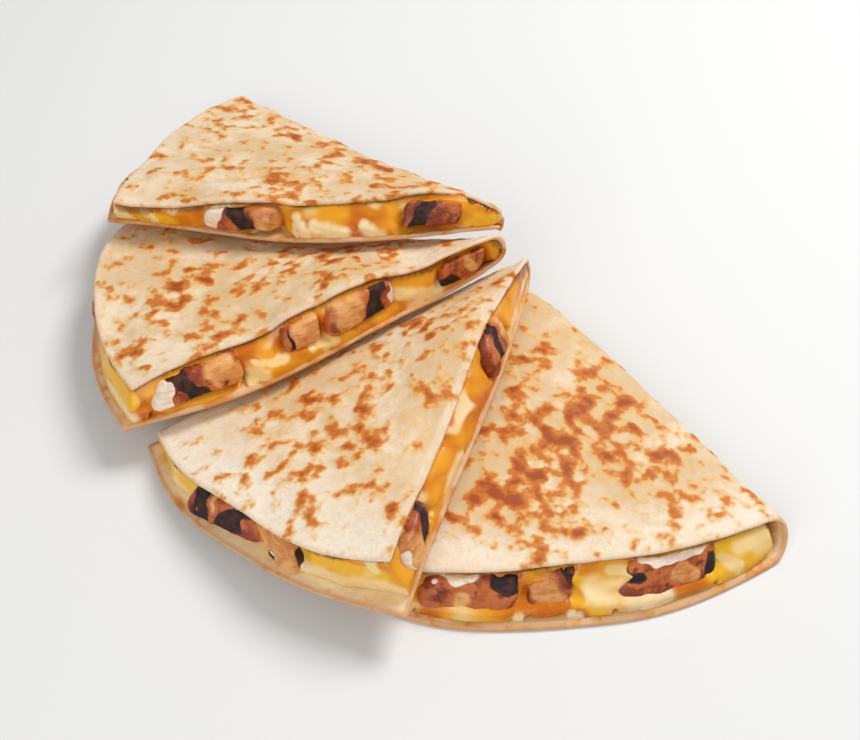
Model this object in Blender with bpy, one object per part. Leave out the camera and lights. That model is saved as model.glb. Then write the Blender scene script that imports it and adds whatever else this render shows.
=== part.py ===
"""A chicken and cheese quesadilla, folded, cut into four wedges and fanned so that each leans on the next.

Metres, +Z up. The origin is the bottom centre of the whole fan's box, on the surface that it lies on.
Each wedge has its own curved space: `reach` runs from its tip (0) to the tortilla's rim (1), `across`
from its back side (0) to its front side (1), and `rise` from the lower layer (0) to the upper one (1).
The tortilla, the cheese and the pieces of chicken are all drawn in that space, so they fit each other.
"""

import math

import bmesh
import bpy
from mathutils import Vector, noise

# Driving dimensions
RADIUS = 0.127  # of the round flour tortilla, a 10 inch one
SHEET = 0.0017  # its thickness
GAP = 0.0005  # kept between any two pieces
DOME = 0.0025  # how much thicker the middle of a wedge is than its sides
FAN_CENTRE = (0.0277, 0.0173)  # where the tips meet, measured from the middle of the fan's box
REST = 2.2 * GAP  # between the middle of an underside and the top that it leans on
LAYER_GAP = 1.6 * GAP  # between a layer of tortilla and the filling
POCKET_GAP = 1.5 * GAP  # between a piece of chicken and the cheese round it
SET_IN = 0.35  # reach by which a wedge has its full thickness and its layers have slid their full way
NOSE = 0.0042  # depth of the rounded fold at a tip
SIDE_NOSE = 0.0050  # depth of the rounded fold along a side
CORNER = 0.0025  # how far a cut corner is worn back from the rim
PINCH = math.radians(1.8)  # how far the upper layer's cut sides are drawn in
SOFTEN = 0.004  # over how much height a wedge bends from one support to the next
LUMP = 0.0008  # how far a piece of chicken lifts the layer above it
LUMP_SPREAD = 0.013
WAVE = 0.0008  # uneven thickness of the melted filling
WAVE_RATE = 28
BARE = 0.0011  # tortilla left bare along a cut side
OOZE = 0.0005  # how far the melted side swells out at half height

# Mesh fineness
REACH_STEPS = 11
ACROSS_STEPS = 6
NOSE_STEPS = 4

# The four wedges, from the one that lies flat to the one on top. Angles in degrees, anticlockwise from +X:
# `front` is the side cut open to view, `back` the side under the next wedge up. `tip` is measured from
# FAN_CENTRE, `tip_z` is the height that the tips below lift it to. Lists run evenly along a side:
# `front_thick` and `back_thick` from the tip to the rim, `draw_in` (how far the upper layer's rim has
# been drawn in over the filling) from back to front. `belly` is how far the lower layer bows out of the
# front side, towards the rim and towards the tip, and `slip` how far the upper layer has slid back from it.
WEDGES = {
    "d": dict(tip=(-0.0032, 0.0071), front=305.9, back=253.4, fold="front", tip_z=0.0,
              front_thick=(0.0090, 0.0140, 0.0134, 0.0141), back_thick=(0.0088, 0.0108, 0.0115),
              draw_in=(0.0065, 0.0115, 0.0045), belly=(-0.0012, -0.0018), slip=-0.0014, seed=4),
    "c": dict(tip=(0.0060, -0.0025), front=253.0, back=207.5, fold="tip", tip_z=0.0070,
              front_thick=(0.0108, 0.0148, 0.0112, 0.0135), back_thick=(0.0082, 0.0098, 0.0088),
              draw_in=(0.0055, 0.0062, 0.0060), belly=(0.0020, 0.0010), slip=0.0025, seed=3),
    "b": dict(tip=(0.0014, -0.0078), front=206.3, back=163.0, fold="tip", tip_z=0.0200,
              front_thick=(0.0113, 0.0148, 0.0124, 0.0124), back_thick=(0.0100, 0.0080, 0.0118),
              draw_in=(0.0018, 0.0012, 0.0075), belly=(0.0056, -0.0018), slip=0.0004, seed=2),
    "a": dict(tip=(-0.0008, -0.0022), front=172.2, back=133.8, fold="back", tip_z=0.0255,
              front_thick=(0.0122, 0.0106, 0.0112, 0.0111), back_thick=(0.0102, 0.0108, 0.0115),
              draw_in=(-0.0010, 0.0050, 0.0045), belly=(0.0100, 0.0040), slip=-0.0045, seed=1),
}

# Pieces of chicken: wedge, side they show at, distance of their middle along it (from the tip, or from the
# front corner on the rim), length along it, depth into the wedge, share of the filling's height that they
# fill, turn in degrees and how far they reach out towards the lower layer's edge.
CHICKEN = [
    ("a", "front", 0.082, 0.025, 0.012, (0.08, 0.94), 6, 0.0005),
    ("a", "front", 0.0225, 0.016, 0.0062, (0.12, 0.92), -3, 0.0005),
    ("a", "rim", 0.042, 0.018, 0.012, (0.08, 0.92), 5, -0.0014),
    ("b", "front", 0.1045, 0.028, 0.012, (0.14, 0.94), 5, 0.0005),
    ("b", "front", 0.0710, 0.011, 0.010, (0.34, 0.94), -6, 0.0005),
    ("b", "front", 0.0525, 0.022, 0.012, (0.24, 0.94), 4, 0.0005),
    ("b", "front", 0.0190, 0.0135, 0.008, (0.12, 0.92), -6, 0.0005),
    ("b", "rim", 0.055, 0.019, 0.012, (0.10, 0.92), -6, -0.0014),
    ("c", "front", 0.0425, 0.015, 0.010, (0.08, 0.93), 4, 0.0005),
    ("c", "front", 0.1105, 0.016, 0.010, (0.09, 0.91), 0, 0.0005),
    ("c", "rim", 0.0600, 0.027, 0.012, (0.06, 0.94), 4, -0.0014),
    ("c", "rim", 0.0365, 0.014, 0.012, (0.10, 0.90), -6, -0.0014),
    ("d", "rim", 0.0940, 0.028, 0.012, (0.08, 0.94), -2, -0.0014),
    ("d", "rim", 0.0710, 0.012, 0.010, (0.14, 0.90), 0, -0.0014),
    ("d", "rim", 0.0375, 0.029, 0.012, (0.10, 0.94), 2, -0.0014),
]


def smooth(x):
    """0 below 0, 1 above 1, and a smooth step between."""
    x = min(1.0, max(0.0, x))
    return x * x * (3 - 2 * x)


def mix(a, b, share):
    return a + (b - a) * share


def higher(a, b):
    """The larger of a and b, rounded off where they are about equal."""
    return (a + b + math.hypot(a - b, SOFTEN)) / 2


def along(values, share):
    """The value at a share of the way along an evenly spaced list, smoothly."""
    last = len(values) - 1
    spot = min(1.0, max(0.0, share)) * last
    i = min(int(spot), last - 1)
    before, a, b, after = values[max(i - 1, 0)], values[i], values[i + 1], values[min(i + 2, last)]
    t = spot - i
    bend = (3 * (a - b) + after - before) * t + 2 * before - 5 * a + 4 * b - after
    return a + 0.5 * t * (b - before + t * bend)


class Wedge:
    """One cut piece, and the wedges that it lies on."""

    def __init__(self, name, below, tip, front, back, fold, tip_z, front_thick, back_thick,
                 draw_in, belly, slip, seed):
        self.name, self.below, self.fold, self.seed = name, below, fold, seed
        self.tip = Vector(tip) + Vector(FAN_CENTRE)
        self.front, self.back = math.radians(front), math.radians(back)
        self.tip_z, self.front_thick, self.back_thick = tip_z, front_thick, back_thick
        self.draw_in, self.belly, self.slip = draw_in, belly, slip
        self.span = self.front - self.back
        self.lumps = [self.plan(*self.spot(*row[1:3], row[4] / 2), 0) for row in CHICKEN if row[0] == name]

    # Plan
    def ray(self, across):
        angle = mix(self.back, self.front, across)
        return Vector((math.cos(angle), math.sin(angle)))

    def width(self, reach):
        return max(reach, 0.02) * RADIUS * self.span

    def side_normal(self, across):
        """Outward, square to the front side (across 1) or the back side (across 0)."""
        ray = self.ray(across)
        return Vector((-ray.y, ray.x)) * (1 if across > 0.5 else -1)

    def bow(self, reach):
        reach = min(1.0, max(0.0, reach))
        return self.belly[0] * math.sin(math.pi * reach) + self.belly[1] * math.sin(2 * math.pi * reach)

    def plan(self, reach, across, rise):
        corner = CORNER * abs(2 * min(1.0, max(0.0, across)) - 1) ** 12 * reach**8
        lower = self.tip + self.ray(across) * (RADIUS * reach - corner)
        ripple = 0.0010 * math.sin(7 * across + 2.1 * self.seed) + 0.0007 * math.sin(17 * across + self.seed)
        lower += self.side_normal(1) * self.bow(reach) * smooth(2 * across - 1)
        lower += self.ray(across) * ripple * reach**4
        if rise == 0:
            return lower
        pinch = PINCH / self.span
        inner = across
        inner += pinch * (0 if self.fold == "back" else (1 - across))
        inner -= pinch * (0 if self.fold == "front" else across)
        flutter = 0.0009 * math.sin(9 * across + 1.3 * self.seed) + 0.0006 * math.sin(21 * across + self.seed)
        drawn = (along(self.draw_in, across) + flutter) * reach**2 + corner
        upper = self.tip + self.ray(inner) * (RADIUS * reach - drawn)
        upper -= self.side_normal(1) * self.slip * smooth(reach / SET_IN)
        return lower.lerp(upper, rise)

    def polar(self, point):
        """(reach, across) of a point in plan, on the lower layer."""
        ray = Vector(point) - self.tip
        angle = math.atan2(ray.y, ray.x)
        middle = (self.front + self.back) / 2
        angle += 2 * math.pi * round((middle - angle) / (2 * math.pi))
        return ray.length / RADIUS, (angle - self.back) / self.span

    def spot(self, side, distance, inset):
        """(reach, across) of a place so far along a side and so far in from it."""
        if side == "front":
            reach = distance / RADIUS
            return reach, 1 - inset / self.width(reach)
        return 1 - inset / RADIUS, 1 - distance / self.width(1)

    # Heights
    def thick(self, reach, across):
        """Outside thickness, from under the lower layer to the top of the upper one."""
        front, back = along(self.front_thick, reach), along(self.back_thick, reach)
        swell = smooth(reach / SET_IN)
        dome = 4 * across * (1 - across) * swell * (1 - 0.6 * smooth((reach - 0.6) / 0.4))
        total = mix(back, front, across) + DOME * dome
        here = self.plan(reach, across, 0)
        for lump in self.lumps:
            total += LUMP * math.exp(-(((here - lump).length / LUMP_SPREAD) ** 2))
        wave = noise.noise(Vector((here.x, here.y, 0.1 * self.seed)) * WAVE_RATE)
        total += WAVE * wave * swell
        return total if self.fold == "tip" else total * mix(0.50, 1.0, smooth(reach / 0.16))

    def nose(self, reach):
        """How deep the rounded fold is, from where the layers start to bend to its outermost line."""
        return NOSE if self.fold == "tip" else min(SIDE_NOSE, 0.32 * self.width(reach))

    def under(self, reach, across):
        """Height of the wedge's underside, resting on the surface and on the wedges below."""
        if not self.below:
            return 0.0
        far = self.tip_z * max(0.0, 1 - reach) ** 1.2
        near = self.below[-1].crown(self.plan(reach, 1, 0)) + REST
        near = higher(near, mix(self.tip_z, 0.5 * self.tip_z, min(1.0, reach / 0.2)) - 0.003)
        height = mix(far, near, across)
        point = self.plan(reach, across, 0)
        for wedge in self.below:
            height = higher(height, wedge.crown(point) + REST)
        return height

    def crown(self, point):
        """Height of the wedge's top over a point in plan, falling away steeply outside the wedge."""
        reach, across = self.polar(point)
        held = min(1.0, max(0.0, across))
        aside = abs(across - held) * max(reach, 0.05) * RADIUS * self.span
        beyond = max(0.0, reach - 1) * RADIUS
        height = self.under(min(1.0, reach), held) + self.thick(min(1.0, reach), held)
        return height - 0.9 * aside - 0.45 * beyond

    def grid(self, a, b):
        """(reach, across) of a place that is a of the way from the tip and b of the way from the back, of
        the flat part of the layers."""
        if self.fold == "tip":
            return mix(0.072, 1.0, a), b
        reach = mix(0.030, 1.0, a)
        inset = self.nose(reach) / self.width(reach)
        return reach, (mix(0.0, 1 - inset, b) if self.fold == "front" else mix(inset, 1.0, b))

    def place(self, reach, across, rise):
        """A point of the wedge's own space. Rise 0 and 1 are the middles of the two layers."""
        point = self.plan(reach, across, rise)
        low = self.under(reach, across) + SHEET / 2
        high = low + self.thick(reach, across) - SHEET
        return Vector((point.x, point.y, mix(low, high, rise)))

    def inside(self, reach, across):
        """The share of rise that a layer and the gap to it take, where the filling starts and ends."""
        return (SHEET / 2 + LAYER_GAP) / (self.thick(reach, across) - SHEET)


def new_object(name, mesh, material):
    obj = bpy.data.objects.new(name, mesh)
    mesh.materials.append(material)
    mesh.shade_smooth()
    bpy.context.collection.objects.link(obj)
    return obj


def mesh_of(name, points, faces):
    """A mesh with its faces turned outwards."""
    mesh = bpy.data.meshes.new(name)
    mesh.from_pydata(points, [], faces)
    shape = bmesh.new()
    shape.from_mesh(mesh)
    bmesh.ops.recalc_face_normals(shape, faces=shape.faces)
    if shape.calc_volume(signed=True) < 0:
        bmesh.ops.reverse_faces(shape, faces=shape.faces)
    shape.to_mesh(mesh)
    shape.free()
    return mesh


def halves(a, b, c, d):
    """Two triangles of a four-sided face. All layers are split alike, so that they stay parallel."""
    return [(a, b, c), (a, c, d)]


def block_skin(name, steps, place):
    """The closed skin of a block of steps[0] x steps[1] x steps[2] cells, bent by place(a, b, c), each 0 to 1."""
    points, index, faces = [], {}, []

    def corner(*cell):
        if cell not in index:
            index[cell] = len(points)
            points.append(place(*(i / n for i, n in zip(cell, steps))))
        return index[cell]

    for axis in range(3):
        one, two = (axis + 1) % 3, (axis + 2) % 3
        for end in (0, steps[axis]):
            for i in range(steps[one]):
                for j in range(steps[two]):
                    ring = []
                    for di, dj in ((0, 0), (1, 0), (1, 1), (0, 1)):
                        cell = [0, 0, 0]
                        cell[axis], cell[one], cell[two] = end, i + di, j + dj
                        ring.append(corner(*cell))
                    faces += halves(*ring)
    return mesh_of(name, points, faces)


def fold_path(flat_steps):
    """Once round the folded tortilla, from the lower layer's open edge to the upper one's, as (distance from
    the fold as a share, rise, share of the nose's depth)."""
    lower = [(1 - i / flat_steps, 0.0, 0.0) for i in range(flat_steps + 1)]
    turns = [math.pi * ((i + 1) / (NOSE_STEPS + 1) - 0.5) for i in range(NOSE_STEPS)]
    nose = [(0.0, 0.5 + 0.5 * math.sin(turn), math.cos(turn)) for turn in turns]
    upper = [(share, 1.0, 0.0) for share, _, _ in reversed(lower)]
    return lower + nose + upper


def tortilla(wedge, material):
    """The wedge's tortilla: one sheet, folded round the filling at the tip or along one side."""
    at_tip = wedge.fold == "tip"
    path = fold_path(REACH_STEPS if at_tip else ACROSS_STEPS)
    rows = ACROSS_STEPS if at_tip else REACH_STEPS
    points = []
    for share, rise, out in path:
        for row in range(rows + 1):
            if at_tip:
                reach, across = wedge.grid(share, row / rows)
                outward = -wedge.ray(across)
            else:
                reach, across = wedge.grid(row / rows, share if wedge.fold == "back" else 1 - share)
                outward = wedge.side_normal(1 if wedge.fold == "front" else 0)
            point = wedge.place(reach, across, rise)
            points.append(point + Vector((outward.x, outward.y, 0)) * wedge.nose(reach) * out)
    ring = rows + 1
    faces = []
    for i in range(len(path) - 1):
        flat_low = i < len(path) // 2
        for j in range(rows):
            a, b, c, d = (i * ring + j, i * ring + j + 1, (i + 1) * ring + j + 1, (i + 1) * ring + j)
            faces += halves(b, c, d, a) if flat_low == (wedge.fold != "back") else halves(a, b, c, d)
    obj = new_object("tortilla_" + wedge.name, mesh_of("tortilla", points, faces), material)
    layer = obj.modifiers.new("thickness", "SOLIDIFY")
    layer.thickness = SHEET
    layer.offset = 0
    layer.use_even_offset = True
    return obj


def cheese(wedge, material, chunks):
    """The melted cheese between the layers, cut away round the pieces of chicken."""
    at_fold = {"back": 0, "front": 1}.get(wedge.fold)

    def place(a, b, c):
        reach = wedge.grid(a, b)[0]
        if a == 1:
            wave = 0.0010 * math.sin(11 * b + wedge.seed)
            reach = 1 - mix(0.0040 + wave, 0.0014, c) / RADIUS
        if a == 0:
            reach = 0.084 if wedge.fold == "tip" else 0.060
        low, high = [(0.0008 if end == at_fold else BARE) / wedge.width(reach) for end in (0, 1)]
        folded = b == at_fold
        across = wedge.grid(a, mix(min(0.3, low), 1 - min(0.3, high), b))[1]
        edge = min(0.42, wedge.inside(reach, across) + (0.10 if a == 0 or folded else 0))
        point = wedge.place(reach, across, mix(edge, 1 - edge, c))
        swell = OOZE * math.sin(math.pi * c)
        push = Vector((0.0, 0.0))
        if b in (0, 1) and not folded:
            push += wedge.side_normal(b) * swell * (1 + 0.5 * math.sin(23 * a + wedge.seed))
        if a == 1:
            push += wedge.ray(across) * swell
        return point + Vector((push.x, push.y, 0))

    obj = new_object("cheese_" + wedge.name, block_skin("cheese", (REACH_STEPS, ACROSS_STEPS, 3), place), material)
    for chunk in chunks:
        cut = obj.modifiers.new("pocket", "BOOLEAN")
        cut.operation = "DIFFERENCE"
        cut.object = chunk
    return obj


def chunk_mesh(wedge, number, side, distance, length, depth, share, turn, proud, grow=0.0):
    """A piece of chicken: a rounded, uneven block between the two layers. Grow makes it larger all round."""
    turn = math.radians(turn)
    taper = 0.10 * math.sin(2.6 * number + wedge.seed)
    lean = 0.07 * math.sin(5.0 * number + 2.0 * wedge.seed)

    def place(*cell):
        box = Vector([math.copysign(abs(2 * v - 1) ** 0.45, v - 0.5) for v in cell])
        if grow:  # straight up and down, so that no thin skin of cheese is left over or under a piece
            box.xy /= max(1.0, sum(abs(v) ** 6 for v in box.xy) ** (1 / 6))
            box.z *= 1.7 if (share[1] > 0.85 if box.z > 0 else share[0] < 0.15) else 1
        else:
            box /= sum(abs(v) ** 6 for v in box) ** (1 / 6)
        long = 1 + 0.05 * math.sin(2.3 * box.y + 3.7 * number) + taper * box.z
        deep = 1 + 0.06 * math.sin(2.9 * box.x + 1.7 * number + wedge.seed)
        x = (box.x * long + lean * box.z) * (length / 2) + grow * box.x
        y = box.y * deep * (depth / 2) + grow * box.y * (6 if box.y > 0 else 1)
        x, y = x * math.cos(turn) - y * math.sin(turn), x * math.sin(turn) + y * math.cos(turn)
        reach, across = wedge.spot(side, distance + x, depth / 2 - proud - y)
        edge = wedge.inside(reach, across)
        room = wedge.thick(reach, across) - SHEET
        low = mix(edge, 1 - edge, share[0]) - grow / room
        high = mix(edge, 1 - edge, share[1]) + grow / room
        return wedge.place(reach, across, mix(low, high, (box.z + 1) / 2))

    return block_skin("chicken", (3, 3, 3), place)


def chicken(wedge, material):
    """The wedge's pieces of chicken, and for each a slightly larger hidden copy that cuts its pocket."""
    cutters = []
    rows = [row for row in CHICKEN if row[0] == wedge.name]
    for number, row in enumerate(rows, 1):
        new_object(f"chicken_{wedge.name}{number}", chunk_mesh(wedge, number, *row[1:]), material)
        cutter = new_object("pocket", chunk_mesh(wedge, number, *row[1:], grow=POCKET_GAP), material)
        cutter.hide_render = True
        cutter.display_type = "WIRE"
        cutters.append(cutter)
    return cutters


def food(name, colour, roughness):
    material = bpy.data.materials.new(name)
    material.use_nodes = True
    shader = material.node_tree.nodes["Principled BSDF"]
    shader.inputs["Base Color"].default_value = (*colour, 1)
    shader.inputs["Roughness"].default_value = roughness
    shader.inputs["Metallic"].default_value = 0
    return material


def main():
    for obj in list(bpy.data.objects):
        bpy.data.objects.remove(obj)
    baked = food("toasted tortilla", (0.80, 0.63, 0.42), 0.75)
    melted = food("melted cheese", (0.83, 0.43, 0.07), 0.35)
    grilled = food("grilled chicken", (0.45, 0.17, 0.06), 0.50)
    below = []
    for name, facts in WEDGES.items():
        wedge = Wedge(name, list(below), **facts)
        tortilla(wedge, baked)
        cheese(wedge, melted, chicken(wedge, grilled))
        below.append(wedge)


main()
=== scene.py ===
import math

import bmesh
import bpy
import numpy as np
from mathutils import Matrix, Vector, noise
from mathutils.bvhtree import BVHTree
from mathutils.kdtree import KDTree


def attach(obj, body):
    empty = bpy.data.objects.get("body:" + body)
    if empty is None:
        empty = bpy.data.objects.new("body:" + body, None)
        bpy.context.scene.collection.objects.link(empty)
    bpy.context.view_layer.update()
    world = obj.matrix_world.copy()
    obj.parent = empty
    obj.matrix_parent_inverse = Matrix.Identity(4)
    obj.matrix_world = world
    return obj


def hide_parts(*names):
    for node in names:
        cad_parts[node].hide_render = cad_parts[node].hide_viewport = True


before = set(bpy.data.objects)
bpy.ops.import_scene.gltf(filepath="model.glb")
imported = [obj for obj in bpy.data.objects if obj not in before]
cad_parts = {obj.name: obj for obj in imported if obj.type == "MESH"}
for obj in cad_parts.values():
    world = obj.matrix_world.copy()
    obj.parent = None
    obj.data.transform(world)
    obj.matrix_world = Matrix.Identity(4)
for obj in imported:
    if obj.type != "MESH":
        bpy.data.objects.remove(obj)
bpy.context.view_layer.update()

# A chicken and cheese quesadilla: a folded tortilla in four wedges, a to d from the top one down,
# each with its sheet of tortilla, its melted cheese and its pieces of grilled chicken. Sizes are in metres.
scene = bpy.context.scene
scene.view_settings.view_transform = "Standard"

fan = {
    "radius": 0.127,
    "centre": (0.0277, 0.0173),
    # each wedge's tip, measured from the centre, and the angles of its cut side in view and of its other side
    "wedges": {
        "a": {"tip": (-0.0008, -0.0022), "front": 172.2, "back": 133.8},
        "b": {"tip": (0.0014, -0.0078), "front": 206.3, "back": 163.0},
        "c": {"tip": (0.0060, -0.0025), "front": 253.0, "back": 207.5},
        "d": {"tip": (-0.0032, 0.0071), "front": 305.9, "back": 253.4},
    },
}


class Wire:
    # one output of a node, which can be written into sums
    def __init__(self, graph, node, out=0):
        self.graph, self.node, self.socket = graph, node, node.outputs[out]

    def out(self, name):
        return Wire(self.graph, self.node, name)

    def join(self, operation, first, second):
        return self.graph.add("ShaderNodeMath", {"operation": operation}, {0: first, 1: second})

    def __add__(self, other):
        return self.join("ADD", self, other)

    def __radd__(self, other):
        return self.join("ADD", other, self)

    def __sub__(self, other):
        return self.join("SUBTRACT", self, other)

    def __rsub__(self, other):
        return self.join("SUBTRACT", other, self)

    def __mul__(self, other):
        return self.join("MULTIPLY", self, other)

    def rise(self, low, high):
        # 0 below low, 1 above high, smooth between
        settings = {"interpolation_type": "SMOOTHSTEP"}
        values = {"Value": self, "From Min": low, "From Max": high}
        return self.graph.add("ShaderNodeMapRange", settings, values)

    def most(self, other):
        return self.join("MAXIMUM", self, other)

    def least(self, other):
        return self.join("MINIMUM", self, other)


class Graph:
    # adds nodes to a shader or a geometry tree
    def __init__(self, tree):
        self.tree = tree

    def add(self, kind, settings=None, values=None, out=0):
        node = self.tree.nodes.new(kind)
        for name, value in (settings or {}).items():
            setattr(node, name, value)
        for key, value in (values or {}).items():
            if isinstance(value, Wire):
                self.tree.links.new(value.socket, node.inputs[key])
            else:
                node.inputs[key].default_value = value
        return Wire(self, node, out)

    def noise(self, place, scale, detail=2.0, roughness=0.5, distortion=0.0):
        values = {"Vector": place, "Scale": scale, "Detail": detail, "Roughness": roughness,
                  "Distortion": distortion}
        return self.add("ShaderNodeTexNoise", {}, values)

    def mix(self, share, first, second):
        return self.add("ShaderNodeMix", {"data_type": "RGBA"}, {0: share, 6: first, 7: second}, 2)

    def vector(self, operation, first, second):
        return self.add("ShaderNodeVectorMath", {"operation": operation}, {0: first, 1: second})

    def stretch(self, vector, factor):
        values = {0: vector, "Scale": factor}
        return self.add("ShaderNodeVectorMath", {"operation": "SCALE"}, values)

    def attribute(self, name):
        # a number stored on the mesh, in either kind of tree
        if self.tree.bl_idname == "ShaderNodeTree":
            return self.add("ShaderNodeAttribute", {"attribute_name": name}, {}, "Fac")
        return self.add("GeometryNodeInputNamedAttribute", {"data_type": "FLOAT"}, {"Name": name})

    def place(self):
        if self.tree.bl_idname == "ShaderNodeTree":
            return self.add("ShaderNodeTexCoord", {}, {}, "Object")
        return self.add("GeometryNodeInputPosition")


def linear(red, green, blue):
    # a screen colour, 0 to 255, as a shader colour
    return (*(((v / 255 + 0.055) / 1.055) ** 2.4 for v in (red, green, blue)), 1.0)


def finish(name, paint, fixed):
    # a material: fixed values on the shader's own sockets, and paint(graph) for what varies
    material = bpy.data.materials.new(name)
    material.use_nodes = True
    shader = material.node_tree.nodes["Principled BSDF"]
    for key, value in fixed.items():
        shader.inputs[key].default_value = value
    for key, wire in paint(Graph(material.node_tree)).items():
        material.node_tree.links.new(wire.socket, shader.inputs[key])
    return material


def shaper(name, sizes, build):
    # a geometry tree with named sizes: build(graph, geometry, sizes by name) gives the shaped geometry
    tree = bpy.data.node_groups.new(name, "GeometryNodeTree")
    tree.interface.new_socket("Geometry", in_out="INPUT", socket_type="NodeSocketGeometry")
    for label, value in sizes.items():
        tree.interface.new_socket(label, in_out="INPUT", socket_type="NodeSocketFloat").default_value = value
    tree.interface.new_socket("Material", in_out="INPUT", socket_type="NodeSocketMaterial")
    tree.interface.new_socket("Geometry", in_out="OUTPUT", socket_type="NodeSocketGeometry")
    graph = Graph(tree)
    inputs = graph.add("NodeGroupInput")
    shaped = build(graph, inputs, {label: inputs.out(label) for label in sizes})
    real = graph.add("GeometryNodeRealizeInstances", {}, {"Geometry": shaped})
    real = graph.add("GeometryNodeSetMaterial", {}, {"Geometry": real, "Material": inputs.out("Material")})
    tree.links.new(real.socket, tree.nodes.new("NodeGroupOutput").inputs[0])
    return tree


def bake(piece):
    # the piece with its modifiers turned into a plain mesh
    graph = bpy.context.evaluated_depsgraph_get()
    shown = piece.evaluated_get(graph)
    mesh = bpy.data.meshes.new_from_object(shown, preserve_all_data_layers=True, depsgraph=graph)
    piece.modifiers.clear()
    old, piece.data = piece.data, mesh
    bpy.data.meshes.remove(old)


def shapeWith(piece, tree, material):
    # runs a piece through a geometry tree, which also gives it its material
    change = piece.modifiers.new(tree.name, "NODES")
    change.node_group = tree
    for item in tree.interface.items_tree:
        if item.in_out == "INPUT" and item.name == "Material":
            change[item.identifier] = material
    bake(piece)


def newPiece(name, mesh):
    piece = bpy.data.objects.new(name, mesh)
    scene.collection.objects.link(piece)
    return piece


def pieceFrom(name, shape):
    # a piece from a shape, which is used up
    mesh = bpy.data.meshes.new(name)
    shape.to_mesh(mesh)
    shape.free()
    return newPiece(name, mesh)


def pointsOf(mesh):
    points = np.zeros(len(mesh.vertices) * 3, np.float32)
    mesh.vertices.foreach_get("co", points)
    return points.reshape(-1, 3).astype(float)


def normalsOf(mesh):
    normals = np.zeros(len(mesh.vertices) * 3, np.float32)
    mesh.vertex_normals.foreach_get("vector", normals)
    return normals.reshape(-1, 3).astype(float)


def loopValues(mesh, field):
    values = np.zeros(len(mesh.loops), np.int32)
    mesh.loops.foreach_get(field, values)
    return values


def setPoints(mesh, points):
    mesh.vertices.foreach_set("co", points.astype(np.float32).ravel())
    mesh.update()


def store(mesh, name, values):
    layer = mesh.attributes.get(name) or mesh.attributes.new(name, "FLOAT", "POINT")
    layer.data.foreach_set("value", np.asarray(values, np.float32))


def read(mesh, name):
    values = np.zeros(len(mesh.vertices), np.float32)
    mesh.attributes[name].data.foreach_get("value", values)
    return values


def cadShape(nodeName):
    # a CAD node's mesh with its doubles merged and its triangles paired into quads
    shape = bmesh.new()
    shape.from_mesh(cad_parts[nodeName].data)
    bmesh.ops.remove_doubles(shape, verts=shape.verts, dist=1e-5)
    bmesh.ops.join_triangles(shape, faces=shape.faces, angle_face_threshold=0.5, angle_shape_threshold=3.0,
                             topology_influence=1.0)
    return shape


def smoothStep(values, low, high):
    share = np.clip((values - low) / (high - low), 0, 1)
    return share * share * (3 - 2 * share)


def tipOf(name):
    facts = fan["wedges"][name]
    return np.array(fan["centre"]) + np.array(facts["tip"])


def wedgePlace(name, points):
    # how far out each point is (0 tip, 1 rim), and how far across (0 back, 1 front)
    facts = fan["wedges"][name]
    offset = points[:, :2] - tipOf(name)
    angle = np.degrees(np.arctan2(offset[:, 1], offset[:, 0])) % 360
    across = (angle - facts["back"]) / (facts["front"] - facts["back"])
    return np.hypot(offset[:, 0], offset[:, 1]) / fan["radius"], across


def spotOn(name, reach, across):
    # the opposite of wedgePlace, for one place
    facts = fan["wedges"][name]
    angle = math.radians(facts["back"] + across * (facts["front"] - facts["back"]))
    return tipOf(name) + np.array((math.cos(angle), math.sin(angle))) * reach * fan["radius"]


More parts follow.
